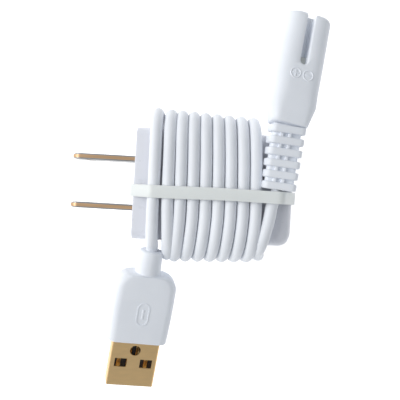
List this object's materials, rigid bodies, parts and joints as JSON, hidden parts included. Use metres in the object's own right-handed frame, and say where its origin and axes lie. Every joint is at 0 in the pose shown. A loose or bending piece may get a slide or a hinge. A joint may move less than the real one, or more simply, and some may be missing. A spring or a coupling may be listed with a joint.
{
  "type": "usb wall charger",
  "caption": "Small two-prong USB wall charger with its charging cord wound round it and held by a flat rubber band; the cord ends in a USB plug and a two-pole appliance connector.",
  "frame": {"origin": "centre of the wall face, midway between the two prongs", "axes": "-X along the prongs into the wall, +X to the USB port face, +Y along the line between the prongs, +Z the side that shows"},
  "size_m": [0.0632, 0.0955, 0.0336],
  "materials": {
    "shell_plastic": "satin moulded white with a cool tint",
    "prong_metal": "brass blade, bright plated flats, bare edges",
    "spring_copper": "bare copper alloy strip",
    "board_laminate": "green solder mask",
    "ferrite": "dark sintered ferrite",
    "black_plastic": "black moulding compound",
    "winding_tape": "yellow polyester tape",
    "resistor_coat": "green flameproof coating",
    "capacitor_sleeve": "dark shrink sleeve",
    "choke_sleeve": "green shrink sleeve",
    "safety_blue": "blue ceramic disc coating",
    "nickel_steel": "nickel-plated steel sheet",
    "insulator_plastic": "white thermoplastic",
    "gold_contacts": "gold-flashed contact strip",
    "band_rubber": "translucent off-white rubber",
    "cord_jacket": "smooth white elastomer jacket",
    "moulded_white": "satin white elastomer moulding",
    "inner_mould": "pale inner moulding",
    "plated_shell": "satin gold-plated steel shell",
    "socket_brass": "sprung brass sleeve"
  },
  "bodies": {
    "root": {"main_shell": "shell_plastic", "prong_cover": "shell_plastic", "prong_upper": "prong_metal", "prong_lower": "prong_metal", "prong_springs": "spring_copper", "circuit_board": "board_laminate", "transformer_core": "ferrite", "transformer_bobbin": "black_plastic", "transformer_winding": "winding_tape", "bridge_diodes": "black_plastic", "fusible_resistor": "resistor_coat", "input_capacitors": "capacitor_sleeve", "input_choke": "choke_sleeve", "switching_controller": "black_plastic", "feedback_coupler": "black_plastic", "safety_capacitor": "safety_blue", "output_diode": "black_plastic", "output_capacitor": "capacitor_sleeve", "usb_port_shell": "nickel_steel", "usb_port_tongue": "insulator_plastic", "usb_port_contacts": "gold_contacts", "rubber_band": "band_rubber", "cord_coil": "cord_jacket", "cord_tail_plug": "cord_jacket", "cord_tail_connector": "cord_jacket", "usb_plug_cover": "moulded_white", "usb_plug_inner_mould": "inner_mould", "usb_plug_shell": "plated_shell", "usb_plug_insulator": "black_plastic", "usb_plug_contacts": "gold_contacts", "connector_body": "moulded_white", "connector_carrier": "inner_mould", "connector_sockets": "socket_brass", "connector_strain_relief": "moulded_white"}
  },
  "joints": []
}
